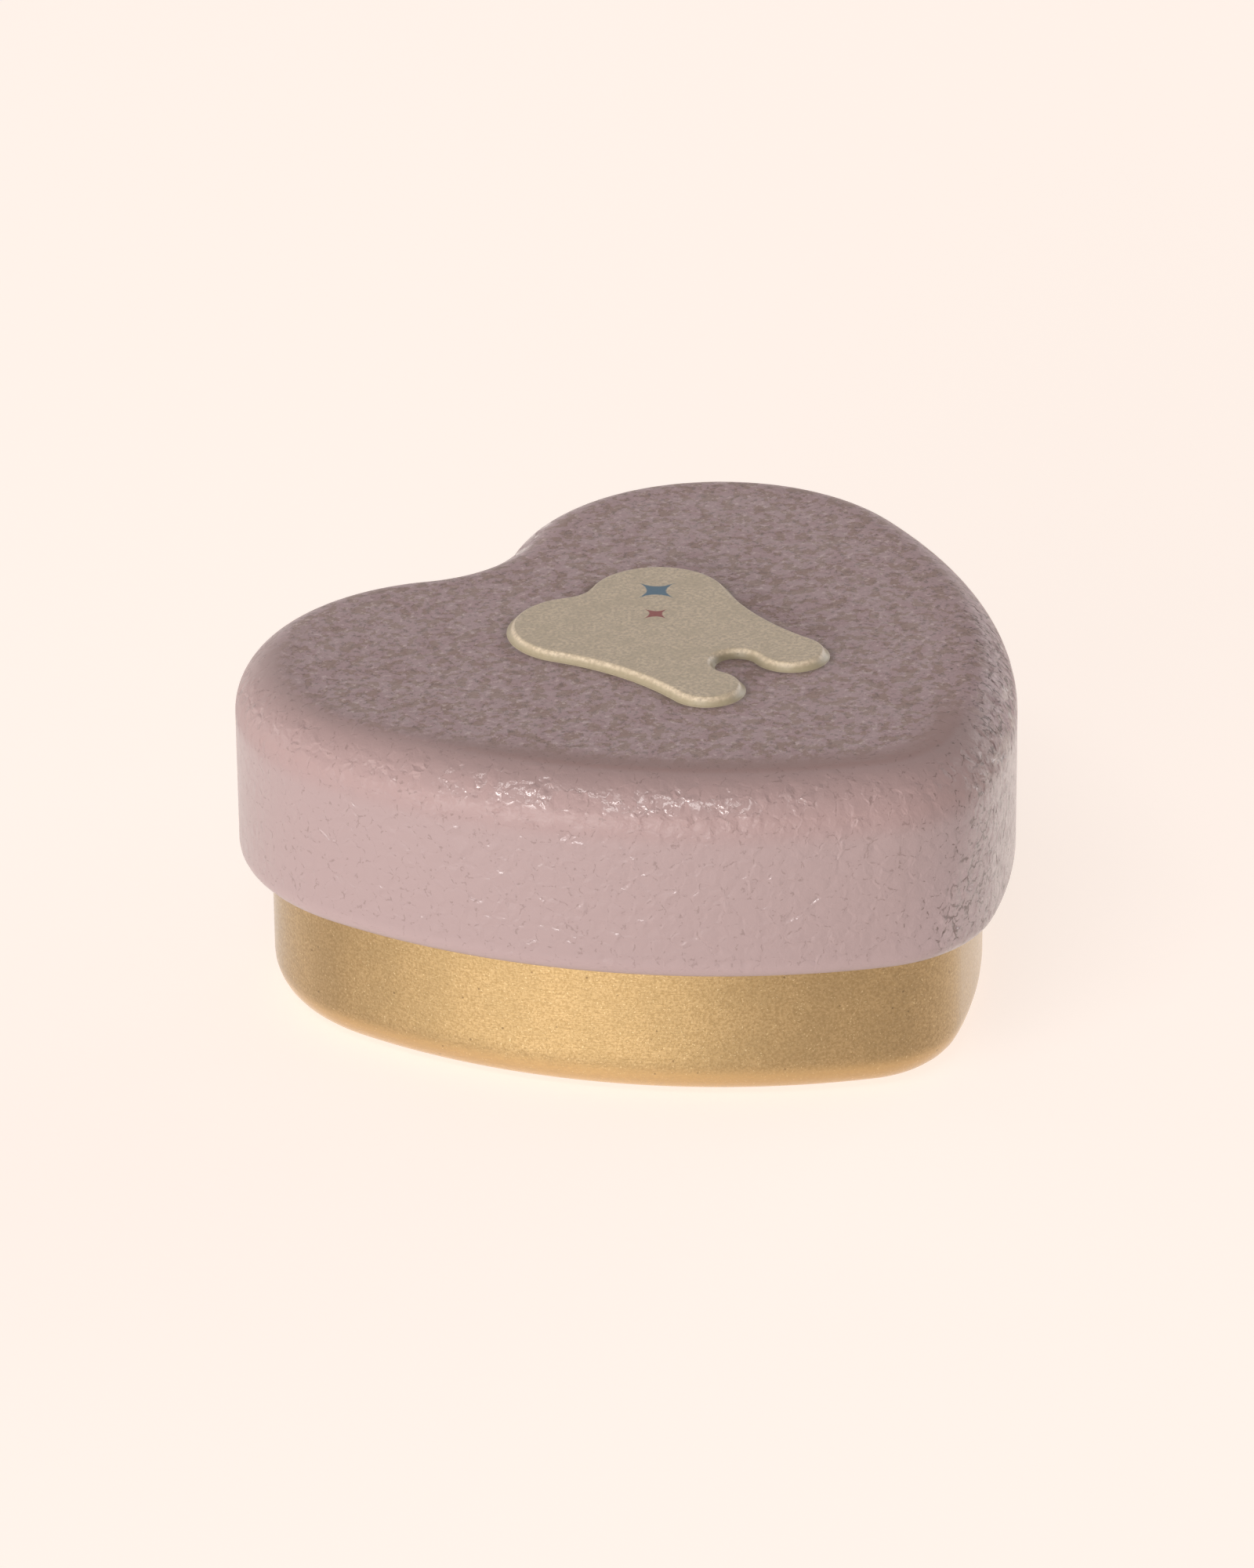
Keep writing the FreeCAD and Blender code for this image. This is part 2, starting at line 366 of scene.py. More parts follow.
def ring_faces(rows):
    """The numbers of the points, ring by ring, and the quads that join each ring to the next."""
    here = np.arange(rows.shape[0] * rows.shape[1]).reshape(rows.shape[:2])
    beside = np.roll(here, -1, axis=1)
    return here, np.stack([here[:-1], here[1:], beside[1:], beside[:-1]], axis=2).reshape(-1, 4)


def new_mesh(name, points, parts, smooth=True):
    """A mesh of points and faces: each part is an array of point numbers, with a row for each face."""
    mesh = bpy.data.meshes.new(name)
    mesh.from_pydata(points, [], [face for part in parts for face in part.tolist()])
    mesh.polygons.foreach_set("use_smooth", np.full(len(mesh.polygons), smooth))
    mesh.update()
    return mesh


def shell_mesh(name, rows, first_pole, last_pole, flip):
    """A closed mesh: rings joined by quads, the first ring closed on one pole and the last on another."""
    here, quads = ring_faces(rows)
    beside = np.roll(here, -1, axis=1)
    pole = np.full(here.shape[1], here.size)
    first = np.stack([pole, here[0], beside[0]], axis=1)
    last = np.stack([here[-1], pole + 1, beside[-1]], axis=1)
    parts = [part[:, ::-1] if flip else part for part in (quads, first, last)]
    return new_mesh(name, np.concatenate([rows.reshape(-1, 3), [first_pole, last_pole]]), parts)


def distance_to(points, loop):
    """The distance from each point to the nearest of a loop's points, worked out a block at a time."""
    blocks = np.array_split(points, DISTANCE_BLOCKS)
    return np.concatenate([np.linalg.norm(block[:, None] - loop, axis=2).min(axis=1) for block in blocks])


def mark(mesh, name, values):
    """Gives the mesh a number for each vertex: the values for the first ones, and 0 for the rest."""
    numbers = np.zeros(len(mesh.vertices), np.float32)
    numbers[: len(values)] = values
    mesh.attributes.new(name, "FLOAT", "POINT").data.foreach_set("value", numbers)


def placed(mesh, materials):
    """An object at the origin that shows a mesh in its materials."""
    for material in materials:
        mesh.materials.append(material)
    made = bpy.data.objects.new(mesh.name, mesh)
    bpy.context.scene.collection.objects.link(made)
    return made


def piece(mesh, materials, body, node):
    """A piece that stands for a node of the solids and moves with its body."""
    made = placed(mesh, materials)
    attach(made, body)
    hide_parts(node)


class Finish:
    """A node material under construction, with short calls for the nodes it needs."""

    def __init__(self, name):
        self.material = bpy.data.materials.new(name)
        self.material.use_nodes = True
        self.tree = self.material.node_tree
        self.shader = self.tree.nodes["Principled BSDF"]
        self.place = self.tree.nodes.new("ShaderNodeTexCoord").outputs["Object"]
        self.height = self.add("ShaderNodeSeparateXYZ", {}, Vector=self.place).outputs["Z"]

    def add(self, kind, settings, **values):
        """A node of a kind, with its settings, and its inputs set to a value or linked to an output."""
        made = self.tree.nodes.new(kind)
        for key, value in settings.items():
            setattr(made, key, value)
        for key, value in values.items():
            self.feed(made.inputs[key.replace("_", " ")], value)
        return made

    def feed(self, socket, value):
        """Links an output to a socket, or sets the socket's own value."""
        if isinstance(value, bpy.types.NodeSocket):
            self.tree.links.new(value, socket)
        else:
            socket.default_value = value

    def worked(self, kind, operation, values):
        """The outputs of a node that does maths on values."""
        made = self.add(kind, {"operation": operation})
        for socket, value in zip(made.inputs, values):
            self.feed(socket, value)
        return made.outputs

    def maths(self, operation, *values):
        """The result of maths on numbers."""
        return self.worked("ShaderNodeMath", operation, values)["Value"]

    def vector(self, operation, *values):
        """The vector that comes of maths on vectors."""
        return self.worked("ShaderNodeVectorMath", operation, values)["Vector"]

    def along(self, place, way):
        """How far a place lies along a direction."""
        return self.worked("ShaderNodeVectorMath", "DOT_PRODUCT", (place, way))["Value"]

    def times(self, first, *others):
        """The product of numbers."""
        for other in others:
            first = self.maths("MULTIPLY", first, other)
        return first

    def most(self, first, *others):
        """The largest of numbers."""
        for other in others:
            first = self.maths("MAXIMUM", first, other)
        return first

    def plus(self, base, value, factor):
        """A base plus a value times a factor."""
        return self.maths("MULTIPLY_ADD", value, factor, base)

    def number(self, name):
        """The number that the mesh is marked with."""
        return self.add("ShaderNodeAttribute", {"attribute_name": name}).outputs["Fac"]

    def noise(self, place, size, detail=2.0, roughness=0.5):
        """Noise with features of about a size, from 0 to 1."""
        values = {"Scale": 1 / size, "Detail": detail, "Roughness": roughness}
        return self.add("ShaderNodeTexNoise", {}, Vector=place, **values).outputs["Fac"]

    def drift(self, place, size, amount):
        """A place moved by up to half an amount each way, by noise of a size."""
        made = self.add("ShaderNodeTexNoise", {}, Vector=place, Scale=1 / size, Detail=2.0)
        centred = self.vector("SUBTRACT", made.outputs["Color"], (0.5, 0.5, 0.5))
        return self.vector("ADD", place, self.vector("MULTIPLY", centred, (amount, amount, amount)))

    def cells(self, place, size, feature):
        """Voronoi cells of about a size: the distance to a feature, in cell sizes."""
        made = self.add("ShaderNodeTexVoronoi", {"feature": feature}, Vector=place, Scale=1 / size)
        return made.outputs["Distance"]

    def flakes(self, place, size):
        """Voronoi cells as flakes: the distance inside the edge, the height of the tilt, and the gloss.

        A flake's tilt is a plane through its middle: the place in it times its random colour, less a half.
        """
        made = self.add("ShaderNodeTexVoronoi", {"feature": "F1"}, Vector=place, Scale=1 / size)
        random = made.outputs["Color"]
        lean = self.vector("SUBTRACT", random, (0.5, 0.5, 0.5))
        inside = self.vector("SUBTRACT", place, made.outputs["Position"])
        tilt = self.times(self.along(inside, lean), FLAKE_TILT)
        green = self.add("ShaderNodeSeparateColor", {}, Color=random).outputs["Green"]
        return self.cells(place, size, "DISTANCE_TO_EDGE"), tilt, self.step(green, *FLAKE_GLOSS)

    def step(self, value, start, end, at_start=0.0, at_end=1.0):
        """A smooth step of a value: at_start up to one limit, and at_end past the other."""
        settings = {"interpolation_type": "SMOOTHSTEP"}
        made = self.add("ShaderNodeMapRange", settings, Value=value, To_Min=at_start, To_Max=at_end)
        self.feed(made.inputs["From Min"], start)
        self.feed(made.inputs["From Max"], end)
        return made.outputs["Result"]

    def mix(self, share, a, b):
        """Two colours mixed, with the share of the second."""
        made = self.add("ShaderNodeMix", {"data_type": "RGBA"})
        for socket, value in zip((made.inputs[0], made.inputs[6], made.inputs[7]), (share, a, b)):
            self.feed(socket, value)
        return made.outputs[2]

    def bump(self, height, distance=1.0, strength=1.0, under=None):
        """A bump's normal from a height that is multiplied by a distance, on top of another bump."""
        made = self.add("ShaderNodeBump", {}, Height=height, Distance=distance, Strength=strength)
        if under is not None:
            self.feed(made.inputs["Normal"], under)
        return made.outputs["Normal"]

    def shade(self, **values):
        """Sets the shader's sockets and gives the material."""
        for key, value in values.items():
            self.feed(self.shader.inputs[key.replace("_", " ")], value)
        return self.material


def lacquer_zones(make):
    """Where the lid's lacquer differs, as shares from 0 to 1 by depth under the top and by side of the tin.

    The level top has a torn skin that stops short of the edge, and the far side of the rounding has it too.
    The right flank is worn, and so is the wall round the back, but less. The hem is smooth.
    """
    depth = make.maths("SUBTRACT", LID_TOP, make.height)
    rise = make.maths("SUBTRACT", make.height, LID_RIM)
    across = make.along(make.place, FLANK_WAY)
    forward = make.along(make.place, FRONT_WAY)
    rounding = make.step(depth, *ROUNDING_DEPTHS)
    behind = make.times(make.step(forward, *BEHIND_FRONT), rounding)
    reach = make.step(across, *SKIN_REACH_ACROSS, 0.0, SKIN_REACH)
    inset = make.maths("ADD", make.number("top_inset"), reach)
    top = make.times(make.step(inset, *SKIN_INSETS), make.step(depth, *LEVEL_DEPTHS))
    aged = make.times(make.step(forward, *AGED_FRONT, 0.0, 0.6), make.step(depth, *AGED_DEPTHS))
    return SimpleNamespace(
        depth=depth,
        across=across,
        rounding=rounding,
        behind=behind,
        top=top,
        torn=make.most(top, behind),
        worn=make.most(make.step(across, *FLANK_ACROSS), aged),
        off_hem=make.step(rise, *HEM_RISES, 0.35, 1.0),
    )


def lacquer_patterns(make, zone):
    """The patterns: flakes, patches of small flakes, torn skin, crazing, dashes, flecks and grain."""
    drifted = make.drift(make.place, *FLAKE_DRIFT)
    edge, tilt, glossy = make.flakes(drifted, FLAKE_SIZE)
    small = make.step(make.cells(drifted, SMALL_FLAKE_SIZE, "DISTANCE_TO_EDGE"), 0.0, 0.30)
    patches = make.step(make.noise(make.place, BREAK_SIZE), 0.45, 0.55)
    tear = make.noise(make.place, TEAR_SIZE, 4.0, 0.62)
    jagged = make.drift(drifted, *CRAZE_DRIFT)
    craze = make.step(make.cells(jagged, CRAZE_SIZE, "DISTANCE_TO_EDGE"), 0.085, 0.010)
    gaps = make.step(make.noise(make.place, CRAZE_GAP_SIZE, 3.0, 0.65), 0.45, 0.57)
    return SimpleNamespace(
        edge=edge,
        tilt=tilt,
        glossy=glossy,
        small=make.times(small, patches),
        tear=tear,
        skin=make.step(tear, 0.452, 0.507),
        craze=make.times(craze, gaps, zone.worn, zone.off_hem),
        dash=make.step(make.noise(make.place, DASH_SIZE, 3.0, 0.65), 0.53, 0.62, 0.06, 1.0),
        fleck=make.noise(make.place, FLECK_SIZE, 3.0, 0.65),
        grain=make.noise(make.place, LACQUER_GRAIN_SIZE, 3.0, 0.6),
    )


def lacquer_colour(make, zone, pattern):
    """Pink wall, a browner rounding painted as shade, a brown rim of painted shade, torn mauve skin on brown
    that is partly painted sheen, pale wear that is partly painted sheen, then flecks and dark lines.

    The rim's painted shade is fainter at the left end. The pale wear and painted sheen lie on the right
    flank and on the brink of the far side.
    Dark lines run along the tears, in dashes along the flakes' edges, and in the crazing.
    """
    # Painted shade: the rounding is a browner pink that stands in for the shade on the rounded edge.
    colour = make.mix(zone.rounding, WALL_PINK, ROUNDING_PINK_SHADED)
    # Painted shade: a brown band along the top's edge, fainter at the left end, stands in for the shade
    # where the top turns down.
    rim = make.times(make.step(zone.depth, *RIM_SHADE_DEPTHS), make.step(zone.across, *RIM_SHADE_ACROSS, 0.35, 1.0))
    colour = make.mix(rim, colour, RIM_PAINTED_SHADE)
    # The mauve of the torn skin is partly painted sheen: it stands in for glossy flakes catching the light
    # on the top.
    colour = make.mix(zone.torn, colour, make.mix(pattern.skin, BARE_BROWN, MAUVE_SKIN_AND_SHEEN))

    # Pale wear, partly painted sheen: the right flank and the far brink are lightened as if catching light
    # at a grazing angle.
    flank = make.times(make.step(zone.across, *PALE_ACROSS, 0.0, 0.75), make.step(zone.depth, *PALE_DEPTHS))
    brink = make.times(zone.behind, make.step(zone.depth, *BRINK_DEPTHS, 0.0, 0.6))
    brink = make.times(brink, make.step(zone.depth, *BRINK_FADE_DEPTHS, 0.25, 1.0))
    colour = make.mix(make.most(flank, brink), colour, PALE_WEAR_AND_SHEEN)

    off_tear = make.maths("ABSOLUTE", make.maths("SUBTRACT", pattern.tear, TEAR_LEVEL))
    ripped = make.times(make.step(off_tear, 0.016, 0.004, 0.0, 0.6), pattern.dash)
    colour = make.mix(make.times(ripped, make.most(zone.torn, zone.worn)), colour, TEAR_BROWN)
    # The smooth hem is a lighter pink, partly painted light from the floor below.
    colour = make.mix(zone.off_hem, HEM_PINK_AND_FLOOR_LIGHT, colour)

    flecked = make.most(zone.torn, make.times(zone.worn, 0.55))
    light = make.times(make.step(pattern.fleck, 0.56, 0.68, 0.0, 0.6), flecked)
    dark = make.times(make.step(pattern.fleck, 0.45, 0.34, 0.0, 0.7), flecked)
    colour = make.mix(dark, make.mix(light, colour, FLECK_LIGHT), FLECK_DARK)

    # Crack lines along the flakes' edges are darker towards the right flank.
    crack_dark_share = make.times(make.step(zone.across, *CRACK_DARK_ACROSS, 0.40, 0.9), zone.off_hem)
    crack = make.times(make.step(pattern.edge, 0.070, 0.0), pattern.dash, crack_dark_share)
    colour = make.mix(crack, colour, CRACK_BROWN)
    colour = make.mix(make.times(pattern.craze, 0.9), colour, CRAZE_BROWN)
    return make.mix(make.number("badge_crease"), colour, CREASE_BROWN)


def lacquer_relief(make, zone, pattern):
    """Two heights in metres: the whole relief, and the flakes alone, as the gloss shows them.

    A flake is a dome with a tilt of its own, and in patches it has smaller domes. Flakes are thickest on the
    rounding, thin on the wall and almost flat at the top's edge. In the whole relief they are softer, with a
    grain, and with the torn skin raised and the crazing cut in.
    """
    dome = make.step(pattern.edge, 0.0, 0.30)
    flake = make.plus(make.times(pattern.tilt, dome), dome, FLAKE_RISE)
    flake = make.plus(flake, pattern.small, SMALL_FLAKE_RISE)
    thick = make.step(zone.depth, *THICK_DEPTHS, 0.38, 1.3)
    thick = make.times(thick, make.step(zone.depth, *THICK_FADE_DEPTHS, 0.25, 1.0))
    flake = make.times(flake, make.most(thick, zone.worn))
    soft = make.most(zone.worn, make.step(zone.depth, *SOFT_DEPTHS, 0.40, 0.80))
    relief = make.plus(make.times(flake, soft), pattern.grain, LACQUER_GRAIN_RISE)
    relief = make.plus(relief, make.times(pattern.skin, make.most(zone.torn, zone.worn)), SKIN_RISE)
    relief = make.plus(relief, pattern.craze, -CRAZE_DEPTH)
    return make.times(relief, zone.off_hem), make.times(flake, zone.off_hem)


def lacquer_gloss(make, zone, pattern):
    """How glossy the flakes are, and how strong the coat is.

    Flakes are glossiest where hands rub the front of the rounding, and less so on the top and where the lid
    is worn. The coat is even on the wall, and stronger where it is worn, below an uneven line.
    """
    shine_share = make.times(make.step(zone.depth, *RUBBED_DEPTHS), make.step(zone.depth, *RUBBED_FADE_DEPTHS))
    shine_share = make.times(shine_share, make.step(zone.across, *RUBBED_RIGHT, 0.12, 1.0))
    shine_share = make.times(shine_share, make.step(zone.across, *RUBBED_LEFT, 0.15, 1.0))
    shine_share = make.most(shine_share, make.times(zone.worn, 0.12), make.times(zone.top, 0.30))
    glossy = make.times(pattern.glossy, shine_share)
    uneven = make.plus(zone.depth, make.maths("SUBTRACT", pattern.tear, 0.5), -FLANK_COAT_UNEVEN)
    flank = make.times(zone.worn, make.step(uneven, *FLANK_COAT_DEPTHS))
    return glossy, make.most(glossy, make.step(zone.depth, *COAT_DEPTHS, 0.05, 0.5), flank)


def pink_lacquer():
    """Satin crackle lacquer: flakes about a millimetre wide with faint cracks, torn and worn in places."""
    make = Finish("pink_crackle_lacquer")
    zone = lacquer_zones(make)
    pattern = lacquer_patterns(make, zone)
    relief, flake = lacquer_relief(make, zone, pattern)
    glossy, coat = lacquer_gloss(make, zone, pattern)
    return make.shade(
        Base_Color=lacquer_colour(make, zone, pattern),
        Roughness=make.plus(make.step(pattern.skin, 0.0, 1.0, 0.58, 0.50), glossy, -0.12),
        Normal=make.bump(relief),
        Coat_Normal=make.bump(flake),
        Coat_Weight=coat,
        Coat_Roughness=0.20,
        Coat_IOR=1.75,
        Specular_IOR_Level=0.3,
        Sheen_Weight=0.18,
        Sheen_Roughness=0.5,
    )


def gold_paint():
    """Gold lacquer on tinplate: metallic grains and glints, a brighter foot painted as the floor's
    reflection, dark specks and rolling marks.
    """
    make = Finish("gold_grain_lacquer")
    grain = make.noise(make.place, GOLD_GRAIN_SIZE, 2.0, 0.6)
    cloud = make.step(make.noise(make.place, GOLD_CLOUD_SIZE, 3.0), 0.40, 0.62, 0.0, 0.25)
    # Painted reflection: the foot's rounding is a brighter gold, standing in for the bright floor it
    # reflects.
    shine_share = make.step(make.height, BASE_EDGE_RADIUS, 0.6 * BASE_EDGE_RADIUS, 0.0, 0.85)
    glint = make.step(make.noise(make.place, GOLD_GLINT_SIZE, 1.0), 0.66, 0.76, 0.0, 0.4)
    speck = make.step(make.cells(make.place, GOLD_SPECK_SPACING, "F1"), 0.09, 0.04, 0.0, 0.6)
    colour = make.mix(make.step(grain, 0.30, 0.70), GRAIN_DARK, GRAIN_LIGHT)
    colour = make.mix(cloud, colour, GOLD_CLOUD)
    colour = make.mix(shine_share, colour, GOLD_FOOT_REFLECTION)
    colour = make.mix(glint, colour, GOLD_GLINT)
    colour = make.mix(speck, colour, GOLD_SPECK)

    slant = {"Rotation": (0.0, 0.5, 0.9), "Scale": (1.0, 0.08, 1.0)}
    slanted = make.add("ShaderNodeMapping", {}, Vector=make.place, **slant).outputs["Vector"]
    rub = make.noise(slanted, GOLD_RUB_SIZE)
    level = make.add("ShaderNodeMapping", {}, Vector=make.place, Scale=(0.12, 0.12, 1.0)).outputs["Vector"]
    rolled = make.noise(level, GOLD_ROLL_SIZE, 1.0)
    return make.shade(
        Base_Color=colour,
        Metallic=1.0,
        Roughness=make.step(rub, 0.35, 0.65, 0.42, 0.52),
        Normal=make.bump(rolled, GOLD_ROLL_RISE, under=make.bump(grain, GOLD_GRAIN_RISE)),
        Anisotropic=0.6,
        Anisotropic_Rotation=0.25,
        Coat_Weight=0.75,
        Coat_Roughness=0.18,
    )


def cream_paint():
    """Cream enamel: a fine grain, faint clouds, a darker foot of painted shade, dark specks, and painted
    four-point sparkles.

    A sparkle covers the points where the roots of the distances from its middle, along X and along Y, add up
    to less than the root of its reach.
    """
    make = Finish("cream_enamel_paint")
    grain = make.noise(make.place, CREAM_GRAIN_SIZE, 3.0, 0.65)
    cloud = make.step(make.noise(make.place, CREAM_CLOUD_SIZE, 4.0, 0.65), 0.45, 0.62, 0.0, 0.5)
    rise = make.maths("SUBTRACT", make.height, badge_low.z)
    # Painted shade: the foot of the badge is darker, standing in for the shade in its hollow foot.
    foot = make.step(rise, *CREAM_SHADE_RISES, 0.0, 0.85)
    speck = make.step(make.cells(make.place, CREAM_SPECK_SPACING, "F1"), 0.09, 0.04, 0.0, 0.4)
    colour = make.mix(make.step(grain, 0.36, 0.64), CREAM_DARK, CREAM_LIGHT)
    colour = make.mix(cloud, colour, CREAM_CLOUD)
    colour = make.mix(foot, colour, CREAM_FOOT_SHADE)
    colour = make.mix(speck, colour, CREAM_SPECK)

    ragged = make.drift(make.place, *SPARKLE_DRIFT)
    for x, y, reach, paint in SPARKLES:
        off = make.vector("ABSOLUTE", make.vector("SUBTRACT", ragged, (x, y, 0.0)))
        parts = make.add("ShaderNodeSeparateXYZ", {}, Vector=off).outputs
        roots = make.maths("ADD", make.maths("SQRT", parts["X"]), make.maths("SQRT", parts["Y"]))
        colour = make.mix(make.step(roots, math.sqrt(reach), 0.9 * math.sqrt(reach)), colour, paint)
    return make.shade(
        Base_Color=colour,
        Roughness=make.step(grain, 0.3, 0.7, 0.42, 0.52),
        Normal=make.bump(grain, CREAM_GRAIN_RISE, 0.7),
        Coat_Weight=0.5,
        Coat_Roughness=0.30,
    )


def make_lid(gold):
    """The lid: a panel drawn in to a pole, then the bent sheet's two faces carried round the heart."""
    outline, facing = heart()
    start = (-LID_EDGE_RADIUS, LID_TOP - SHEET / 2)
    moves = [
        (LID_EDGE_RADIUS - SHEET / 2, -QUARTER_TURN),
        (LID_TOP - LID_RIM - LID_EDGE_RADIUS - HEM_DIAMETER / 2, 0),
        (HEM_DIAMETER / 2 - SHEET / 2, -ROLL_TURN),
    ]
    middle, left = bent_sheet(start, moves, LID_STEP)
    outside = carried(middle + left * SHEET / 2, outline, facing)
    middle, left = bent_sheet(start, moves, INNER_STEP)
    inside = carried(middle - left * SHEET / 2, outline, facing)[::-1]
    top = drawn_in(outside[0], LID_TOP_HUB, LID_TOP_RINGS)[::-1]
    under = drawn_in(inside[-1], PANEL_HUB, LID_UNDER_RINGS)
    rows = np.concatenate([top, outside, inside, under])
    mesh = shell_mesh("lid_tin", rows, (0, 0, LID_TOP), (0, 0, LID_TOP - SHEET), False)

    gold_from = len(top) + len(outside) - HEM_TAIL_RINGS
    index = np.zeros(len(mesh.polygons), np.int32)
    index[gold_from * HEART_COUNT : (len(rows) - 1) * HEART_COUNT] = 1
    index[-HEART_COUNT:] = 1
    mesh.polygons.foreach_set("material_index", index)

    plan = top.reshape(-1, 3)[:, :2]
    off_crease = distance_to(plan, tooth()[0]) - CREASE_OUT
    mark(mesh, "badge_crease", CREASE_SHARE * np.exp(-((off_crease / CREASE_WIDTH) ** 2)))
    mark(mesh, "top_inset", distance_to(plan, outside[0, :, :2]))
    piece(mesh, [pink_lacquer(), gold], "lid", "lid_shell")


def make_base(gold):
    """The base: a raised panel drawn in to a pole, then the sheet's two faces carried round the heart."""
    outline, facing = heart()
    bend = PANEL_RISE / 2 / (1 - math.cos(PANEL_TURN))
    run = 2 * bend * math.sin(PANEL_TURN)
    start = (-BASE_INSET - BASE_EDGE_RADIUS - STANDING_WIDTH - run, PANEL_RISE + SHEET / 2)
    moves = [
        (bend, -PANEL_TURN),
        (bend, PANEL_TURN),
        (STANDING_WIDTH, 0),
        (BASE_EDGE_RADIUS - SHEET / 2, QUARTER_TURN),
        (base_high.z - BASE_EDGE_RADIUS - RIM_DIAMETER / 2, 0),
        (RIM_DIAMETER / 2 - SHEET / 2, ROLL_TURN),
    ]
    middle, left = bent_sheet(start, moves, BASE_STEP)
    outside = carried(middle - left * SHEET / 2, outline, facing)
    inside = carried(middle + left * SHEET / 2, outline, facing)[::-1]
    under = drawn_in(outside[0], PANEL_HUB, PANEL_RINGS)[::-1]
    floor = drawn_in(inside[-1], PANEL_HUB, PANEL_RINGS)
    rows = np.concatenate([under, outside, inside, floor])
    mesh = shell_mesh("base_tin", rows, (0, 0, PANEL_RISE), (0, 0, PANEL_RISE + SHEET), True)
    piece(mesh, [gold], "base", "base_shell")


def make_badge():
    """The badge: a level top whose edge falls in a half wave, round at the shoulder and hollow at the foot.

    Along the edge's run, the height falls by the badge's height times (1 - cos(pi times the share of the
    run)) / 2.
    """
    share = np.linspace(0, BADGE_EDGE_SHARE, BADGE_EDGE_RINGS)
    out = BADGE_SPREAD - BADGE_EDGE_RUN * (BADGE_EDGE_SHARE - share)
    fall = BADGE_HEIGHT * (1 - np.cos(math.pi * share)) / 2
    edge = np.stack([out, badge_high.z - fall], axis=1)
    level_out = np.linspace(-BADGE_LEVEL_WIDTH, out[0], BADGE_LEVEL_RINGS + 1)[:-1]
    level = np.stack([level_out, np.full(BADGE_LEVEL_RINGS, badge_high.z)], axis=1)
    foot = [[out[-1], badge_low.z - BADGE_SINK]]
    rows = carried(np.concatenate([level, edge, foot]), *tooth())
    here, quads = ring_faces(rows)
    mesh = new_mesh("tooth_badge", rows.reshape(-1, 3), [quads, here[:1], here[-1:, ::-1]])
    piece(mesh, [cream_paint()], "lid", "tooth_emblem")


def glowing_matt(tree, paint, glow):
    """A matt shader of a paint, with a glow in the backdrop's colour."""
    made = tree.nodes.new("ShaderNodeBsdfPrincipled")
    made.inputs["Base Color"].default_value = paint
    made.inputs["Roughness"].default_value = 1.0
    made.inputs["Specular IOR Level"].default_value = 0.0
    made.inputs["Emission Color"].default_value = BACKDROP
    made.inputs["Emission Strength"].default_value = glow
    return made.outputs["BSDF"]


def floor_paint():
    """The floor's finish: the camera and reflections see mostly glow, and a fainter one lights the tin."""
    material = bpy.data.materials.new("pale_floor")
    material.use_nodes = True
    tree = material.node_tree
    tree.nodes.clear()
    path = tree.nodes.new("ShaderNodeLightPath").outputs
    seen = path["Is Camera Ray"]
    for rays in ("Is Glossy Ray", "Is Transmission Ray"):
        either = tree.nodes.new("ShaderNodeMath")
        either.operation = "MAXIMUM"
        tree.links.new(seen, either.inputs[0])
        tree.links.new(path[rays], either.inputs[1])
        seen = either.outputs["Value"]
    switch = tree.nodes.new("ShaderNodeMixShader")
    tree.links.new(seen, switch.inputs[0])
    tree.links.new(glowing_matt(tree, *FLOOR_LIGHTING), switch.inputs[1])
    tree.links.new(glowing_matt(tree, *FLOOR_SEEN), switch.inputs[2])
    output = tree.nodes.new("ShaderNodeOutputMaterial")
    tree.links.new(switch.outputs["Shader"], output.inputs["Surface"])
    return material


def make_floor():
    """A wide pale floor that glows faintly, as a light table does, and keeps the tin's soft shadow.

    It is a section turned about the upright axis: level out to the floor's radius, then a quarter circle up.
    """
    turn = np.linspace(0, QUARTER_TURN, SWEEP_RINGS)
    out = np.concatenate([[FLOOR_RADIUS / 2], FLOOR_RADIUS + SWEEP_RADIUS * np.sin(turn)])
    rise = np.concatenate([[0], SWEEP_RADIUS * (1 - np.cos(turn))])
    angle = np.linspace(0, 2 * math.pi, SWEEP_COUNT, endpoint=False)
    facing = np.stack([np.cos(angle), np.sin(angle)], axis=1)
    rows = carried(np.stack([out, rise], axis=1), np.zeros((SWEEP_COUNT, 2)), facing)
    here, quads = ring_faces(rows)
    mesh = new_mesh("floor", rows.reshape(-1, 3), [quads, here[:1]], smooth=False)
    placed(mesh, [floor_paint()])


def toward(azimuth, elevation):
    """The direction from the tin to an azimuth and elevation in degrees; azimuth 0 is the tip's side, -Y."""
    a, e = math.radians(azimuth), math.radians(elevation)
    return Vector((math.sin(a) * math.cos(e), -math.cos(a) * math.cos(e), math.sin(e)))


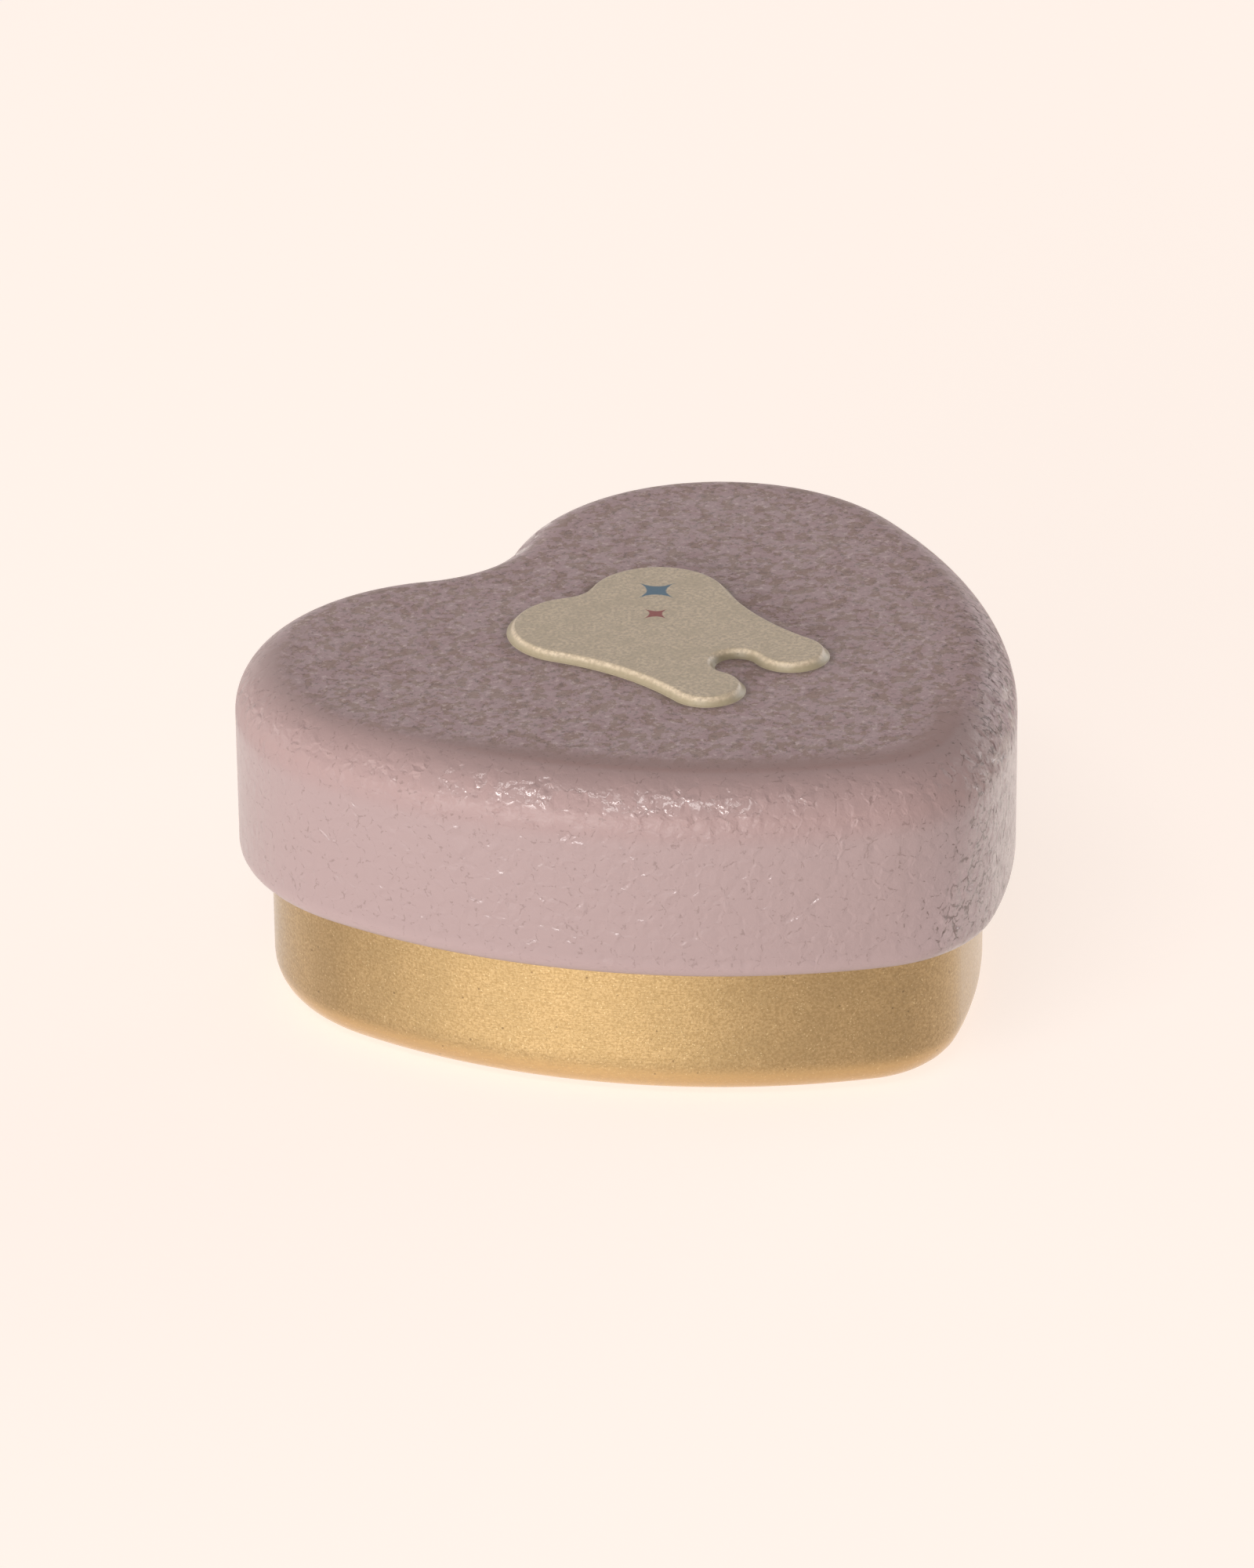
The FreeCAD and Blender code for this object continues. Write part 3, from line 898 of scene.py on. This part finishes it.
def softbox(name, azimuth, elevation, size, power, colour):
    """An area light aimed at the tin from an azimuth and elevation."""
    light = bpy.data.lights.new(name, "AREA")
    light.shape = "RECTANGLE"
    light.size, light.size_y = size
    light.energy = power
    light.color = colour
    back = toward(azimuth, elevation)
    made = bpy.data.objects.new(name, light)
    made.location = Vector((0, 0, LID_TOP / 2)) + back * LIGHT_DISTANCE
    made.rotation_mode = "QUATERNION"
    made.rotation_quaternion = (-back).to_track_quat("-Z", "Y")
    bpy.context.scene.collection.objects.link(made)


def make_camera():
    """A long lens at the photograph's angle, aimed a little beside the tin, to place it as it is there."""
    back = toward(CAMERA_AZIMUTH, CAMERA_ELEVATION)
    level = toward(CAMERA_AZIMUTH + 90, 0)
    rolled = Matrix.Rotation(math.radians(CAMERA_ROLL), 3, back)
    right = rolled @ level
    up = rolled @ back.cross(level)
    middle = Vector((0, 0, LID_TOP / 2))
    place = middle + back * CAMERA_DISTANCE
    aim = middle + (up * BELOW_PIXELS - right * BESIDE_PIXELS) * (CAMERA_DISTANCE / FOCAL_PIXELS)
    away = (place - aim).normalized()
    side = (right - away * right.dot(away)).normalized()
    turn = Matrix((side, away.cross(side), away)).transposed()
    lens = bpy.data.cameras.new("camera")
    lens.sensor_width = SENSOR
    lens.lens = FOCAL_PIXELS * SENSOR / PICTURE_HEIGHT
    lens.clip_start, lens.clip_end = 0.01, 100.0
    made = bpy.data.objects.new("camera", lens)
    made.matrix_world = Matrix.Translation(place) @ turn.to_4x4()
    bpy.context.scene.collection.objects.link(made)
    bpy.context.scene.camera = made


def make_world():
    """A dim even surround."""
    world = bpy.data.worlds.new("studio")
    world.use_nodes = True
    dim = world.node_tree.nodes["Background"].inputs
    dim["Color"].default_value, dim["Strength"].default_value = SURROUND
    bpy.context.scene.world = world


make_camera()
gold = gold_paint()
make_lid(gold)
make_base(gold)
make_badge()
make_floor()
make_world()
for settings in SOFTBOXES:
    softbox(*settings)
bpy.context.scene.view_settings.view_transform = "Standard"
